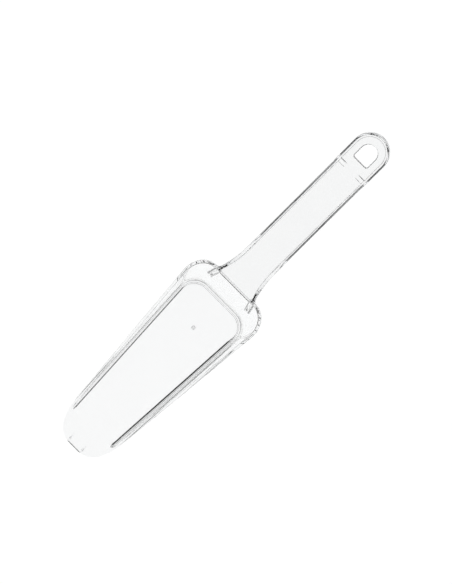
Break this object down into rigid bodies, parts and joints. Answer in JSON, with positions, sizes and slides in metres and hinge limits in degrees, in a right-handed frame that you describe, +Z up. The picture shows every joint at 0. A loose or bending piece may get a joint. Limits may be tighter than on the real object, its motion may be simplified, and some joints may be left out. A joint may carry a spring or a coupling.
{
  "type": "ice scoop",
  "caption": "Clear plastic ice scoop with a flat-floored tapered bowl, a bevelled lip, a channel handle and a hanging eye.",
  "frame": {"origin": "middle of the bounding box's base, on the plane of the floor's underside", "axes": "+Y runs along the scoop from the lip to the end of the handle, +X is the holder's left looking out over the mouth, +Z is up"},
  "size_m": [0.0548, 0.25, 0.0659],
  "materials": {
    "clear_plastic": "clear polished polycarbonate"
  },
  "bodies": {
    "root": {"bowl_floor": "clear_plastic", "bowl_left_wall": "clear_plastic", "bowl_right_wall": "clear_plastic", "bowl_back_wall": "clear_plastic", "handle_web": "clear_plastic", "handle_left_flange": "clear_plastic", "handle_right_flange": "clear_plastic", "handle_end_rib": "clear_plastic", "hanging_eye": "clear_plastic"}
  },
  "joints": []
}
